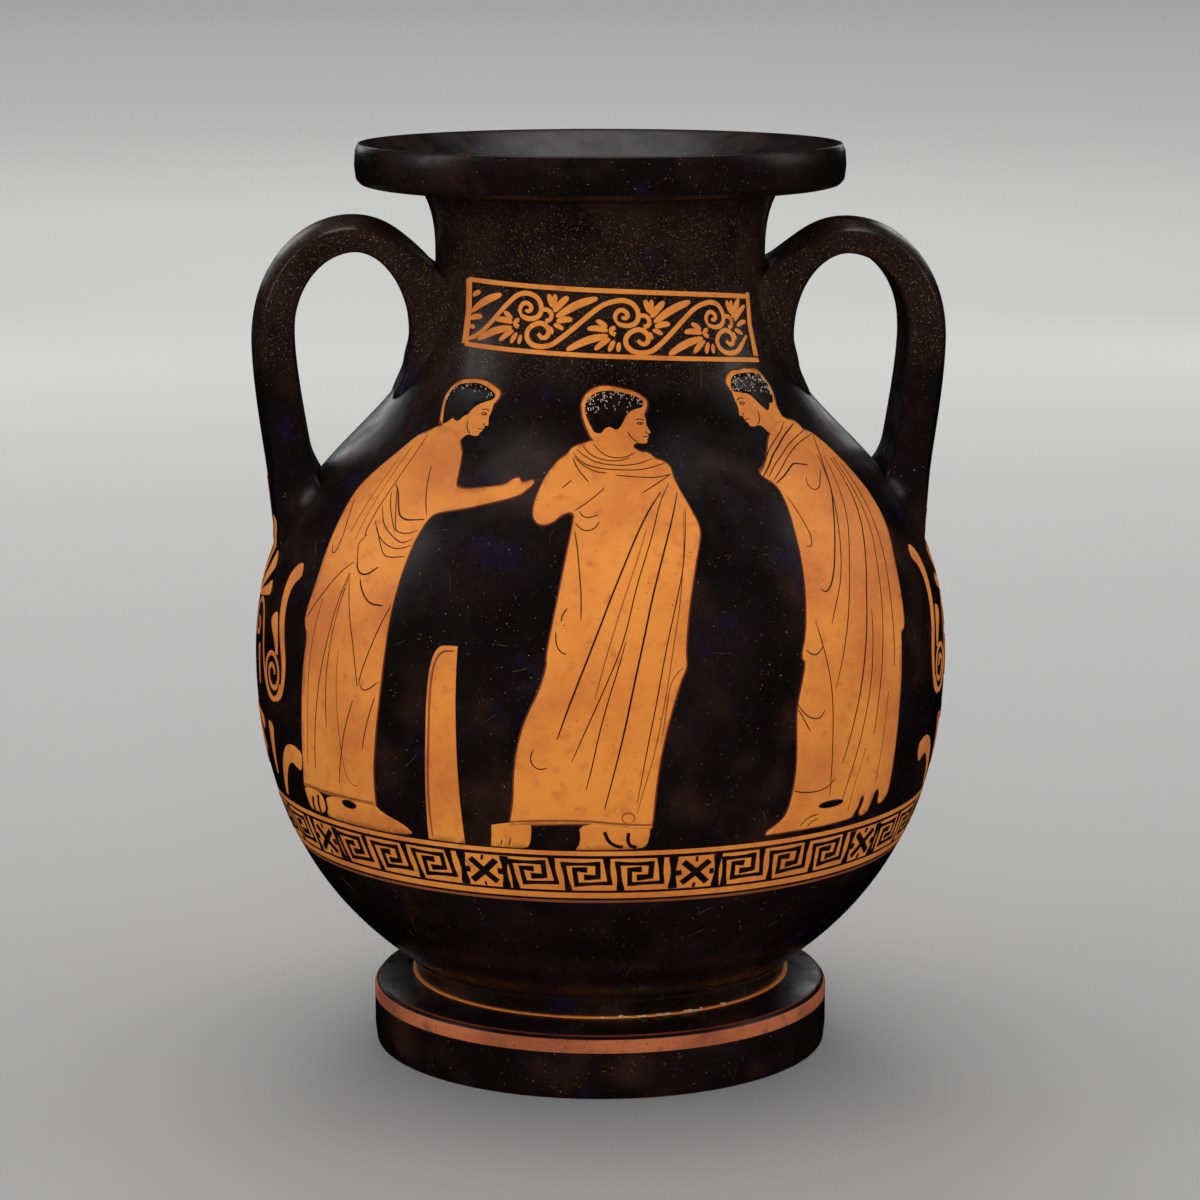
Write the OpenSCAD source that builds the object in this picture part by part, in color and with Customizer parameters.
// Two-handled storage jar with a wide mouth and a low belly, thrown in sections and luted together.
// Origin: centre of the standing ring, on the surface the jar stands on.
// +Z is up, the handles lie on +X and -X, and -Y is the side with the main picture.

/* [Overall] */
// Height from the standing surface to the top of the lip
height = 340; // [330:1:350]
// Largest diameter of the belly
belly_d = 260; // [250:1:270]
// Height of the belly's widest ring
belly_z = 150; // [145:1:155]
// Thickness of the thrown wall
wall = 5; // [4:0.5:6]

/* [Foot] */
// Diameter of the foot
foot_d = 173; // [168:1:178]
// Height of the foot's riser
riser_h = 22.5; // [20:0.5:24]
// Height at which the foot ends and the fillet starts
foot_top = 26.5; // [25.5:0.5:28]
// Width of the ring the jar stands on
ring_w = 17; // [12:1:22]

/* [Neck and lip] */
// Height of the seam between the belly and the neck
seam_z = 245; // [242:1:248]
// Smallest diameter of the neck
neck_d = 123; // [118:1:128]
// Diameter of the lip
lip_d = 182; // [176:1:188]
// Height of the lip's overhanging part
lip_h = 15; // [13:1:17]

/* [Handles] */
// Half width of the strap
strap_w = 18; // [16:1:20]
// Thickness of the strap at the top of its arch
strap_t = 13; // [11:0.5:15]
// Height of the rounded rib along the outside of the strap
rib_h = 4.5; // [3:0.5:5.5]
// Height of the arch above the shoulder end of the handle
arch_z = 307.7; // [304:0.1:310]
// How much lower the handle on +X was set by hand
right_drop = 1.5; // [0:0.5:2]

/* [Hidden] */
$fn = 128;

steps = 10;                        // straight pieces in each thrown curve
foot_r = foot_d / 2;
belly_r = belly_d / 2;
neck_r = neck_d / 2;
lip_r = lip_d / 2;
bowl_z = foot_top + 7;             // underside of the body
floor_t = 8;                       // thickness of the body's floor
stem_r = 72;                       // radius where the bowl starts
fillet_r = stem_r - 1.5;           // radius at the bottom of the fillet
hollow_r = 54;                     // radius of the hole up through the foot
seam_r = 80.6;                     // radius of the wall at the belly's seam
throat_z = height - 40;            // height of the narrowest ring of the neck
lip_z = height - lip_h;            // underside of the lip's overhang
neck_top = lip_z - 3;              // seam between the neck and the lip
neck_top_r = neck_r + 4.5;
arch_r = 91;                       // distance of the top of the arch from the jar's axis
arch_base = 270;                   // height at which the arch starts on both sides
inner_reach = 26.7;                // from the top of the arch in to the neck leg
outer_reach = 30.7;                // from the top of the arch out to the shoulder leg
leg_end = [66, 255];               // lower end of the leg along the neck
root_end = [112.5, 188];           // lower end of the leg on the shoulder
root_t = 18;                       // thickness of the strap at the shoulder
corner = 1.5;                      // bevel along the strap's inner edges
arch_steps = 9;                    // stations in each quarter of the arch
leg_steps = 8;                     // stations along the shoulder leg
rib_steps = 4;                     // points on each half of the rib
clay_steps = 6;                    // straight pieces in each half of a lump of clay

bowl = [[stem_r, bowl_z], [86, 43.5], [belly_r, 73], [belly_r, belly_z]];
shoulder = [[belly_r, belly_z], [belly_r, belly_z + 54], [seam_r + 19.2, seam_z - 22], [seam_r, seam_z]];
neck_low = [[seam_r, seam_z], [seam_r - 12.2, seam_z + 14], [neck_r, 275], [neck_r, throat_z]];
neck_high = [[neck_r, throat_z], [neck_r, throat_z + 10], [neck_r + 1.3, neck_top - 6], [neck_top_r, neck_top]];

// Point and slope of a cubic curve through four control points
function cubic(p, t) =
    pow(1 - t, 3) * p[0] + 3 * pow(1 - t, 2) * t * p[1] + 3 * (1 - t) * t * t * p[2] + pow(t, 3) * p[3];
function slope(p, t) =
    pow(1 - t, 2) * (p[1] - p[0]) + 2 * (1 - t) * t * (p[2] - p[1]) + t * t * (p[3] - p[2]);
function unit(v) = v / norm(v);
function left_of(v) = [-v.y, v.x];

// The outer face of a thrown wall, and its inner face one wall thickness nearer the axis
function outer(p) = [for (i = [0:steps]) cubic(p, i / steps)];
function inner(p) = [for (i = [steps:-1:0]) cubic(p, i / steps) + wall * left_of(unit(slope(p, i / steps)))];

// Everything inside the outer face of the belly's shoulder and the neck
module thrown_solid() {
    rotate_extrude()
        polygon(concat([[0, belly_z]], outer(shoulder), outer(neck_low), outer(neck_high), [[0, neck_top]]));
}

module foot() {
    color("#1c1113")
    rotate_extrude()
        polygon([
            [foot_r - 1, 0], [foot_r, 6], [foot_r, riser_h - 1.5], [foot_r - 0.6, riser_h - 0.3],
            [foot_r - 2.2, riser_h + 1], [fillet_r, foot_top], [hollow_r, foot_top],
            [hollow_r + 2, foot_top - 7], [foot_r - ring_w - 3, 4], [foot_r - ring_w, 0]
        ]);
}

module foot_fillet() {
    color("#1c1113")
    rotate_extrude()
        polygon([[hollow_r, foot_top], [fillet_r, foot_top], [stem_r, bowl_z], [hollow_r, bowl_z]]);
}

module body() {
    inside = [for (p = concat(inner(shoulder), inner(bowl))) if (p.y > bowl_z + floor_t) p];
    color("#1a1012")
    rotate_extrude()
        polygon(concat(
            [[0, bowl_z]], outer(bowl), outer(shoulder), inside,
            [[stem_r - wall, bowl_z + floor_t], [0, bowl_z + floor_t]]
        ));
}

module neck() {
    color("#1a1012")
    rotate_extrude()
        polygon(concat(outer(neck_low), outer(neck_high), inner(neck_high), inner(neck_low)));
}

module lip() {
    throat = cubic(neck_high, 1) + wall * left_of(unit(slope(neck_high, 1)));
    color("#241a1b")
    rotate_extrude()
        polygon([
            [neck_top_r, neck_top], [lip_r - 5, lip_z - 0.6], [lip_r - 2.6, lip_z], [lip_r - 0.9, lip_z + 2],
            [lip_r, lip_z + 7], [lip_r - 0.7, lip_z + 12.5], [lip_r - 1.8, height], [lip_r - 4, height],
            [lip_r - 6, height - 1.2], [throat.x + 9, neck_top + 8], throat
        ]);
}

// Centre line of a handle as [radius, height, thickness], from the neck leg over the arch to the shoulder
function handle_line(drop) = let (
    rise = arch_z - drop - arch_base,
    foot_of_arch = [arch_r + outer_reach, arch_base],
    leg = [foot_of_arch, foot_of_arch - [0, 25], [118, 225], root_end]
) concat(
    [[leg_end.x, leg_end.y, strap_t - 1], [arch_r - inner_reach, 262.5, strap_t]],
    [for (i = [0:arch_steps]) let (a = 90 * i / arch_steps)
        [arch_r - inner_reach * cos(a), arch_base + rise * sin(a), strap_t]],
    [for (i = [1:arch_steps]) let (a = 90 * i / arch_steps)
        [arch_r + outer_reach * sin(a), arch_base + rise * cos(a), strap_t + 3 * i / arch_steps]],
    [for (i = [1:leg_steps]) let (t = i / leg_steps, p = cubic(leg, t))
        [p.x, p.y, strap_t + 3 + (root_t - strap_t - 3) * t]]
);

// Outline of the strap, flat on the inside with a rounded rib outside, as [outward, across]
function strap_section(t) = concat(
    [[-t / 2, corner - strap_w], [corner - t / 2, -strap_w]],
    [for (i = [-rib_steps:rib_steps]) let (k = i / rib_steps) [t / 2 - rib_h * k * k, strap_w * k]],
    [[corner - t / 2, strap_w], [-t / 2, strap_w - corner]]
);

// A handle before it is cut to the wall
module strap(drop) {
    line = handle_line(drop);
    last = len(line) - 1;
    sides = len(strap_section(strap_t));
    points = [
        for (i = [0:last])
            let (
                here = [line[i].x, line[i].y],
                ahead = line[min(i + 1, last)] - line[max(i - 1, 0)],
                out = left_of(unit([ahead.x, ahead.y]))
            )
            for (s = strap_section(line[i].z)) [here.x + out.x * s.x, s.y, here.y + out.y * s.x]
    ];
    faces = concat(
        [[for (k = [sides - 1:-1:0]) k]],
        [for (i = [0:last - 1], k = [0:sides - 1]) let (n = (k + 1) % sides)
            [i * sides + k, (i + 1) * sides + n, (i + 1) * sides + k]],
        [for (i = [0:last - 1], k = [0:sides - 1]) let (n = (k + 1) % sides)
            [i * sides + k, i * sides + n, (i + 1) * sides + n]],
        [[for (k = [0:sides - 1]) last * sides + k]]
    );
    polyhedron(points, faces);
}

module handle(drop) {
    difference() {
        strap(drop);
        thrown_solid();
    }
}

// A lump of clay rolled round, with its axis along Z
module clay(radius, half) {
    rotate_extrude()
        polygon([for (i = [-clay_steps:clay_steps]) let (a = 90 * i / clay_steps) [radius * cos(a), half * sin(a)]]);
}

// The soft clay pressed round the end of a handle on the neck
module neck_luting(drop) {
    difference() {
        translate([53, 0, 275]) rotate([0, 90, 0]) clay(32, 15);
        strap(drop);
        thrown_solid();
    }
}

// The roll of clay that beds the end of a handle on the shoulder
module shoulder_luting(drop) {
    difference() {
        translate([104, 0, 205]) rotate([90, 0, 0]) clay(17, 42);
        strap(drop);
        thrown_solid();
    }
}

module left_handle() {
    color("#1a1012") mirror([1, 0, 0]) handle(0);
}

module right_handle() {
    color("#1a1012") handle(right_drop);
}

module left_neck_luting() {
    color("#2a1a18") mirror([1, 0, 0]) neck_luting(0);
}

module left_shoulder_luting() {
    color("#2a1a18") mirror([1, 0, 0]) shoulder_luting(0);
}

module right_neck_luting() {
    color("#2a1a18") neck_luting(right_drop);
}

module right_shoulder_luting() {
    color("#2a1a18") shoulder_luting(right_drop);
}

foot();
foot_fillet();
body();
neck();
lip();
left_handle();
right_handle();
left_neck_luting();
left_shoulder_luting();
right_neck_luting();
right_shoulder_luting();
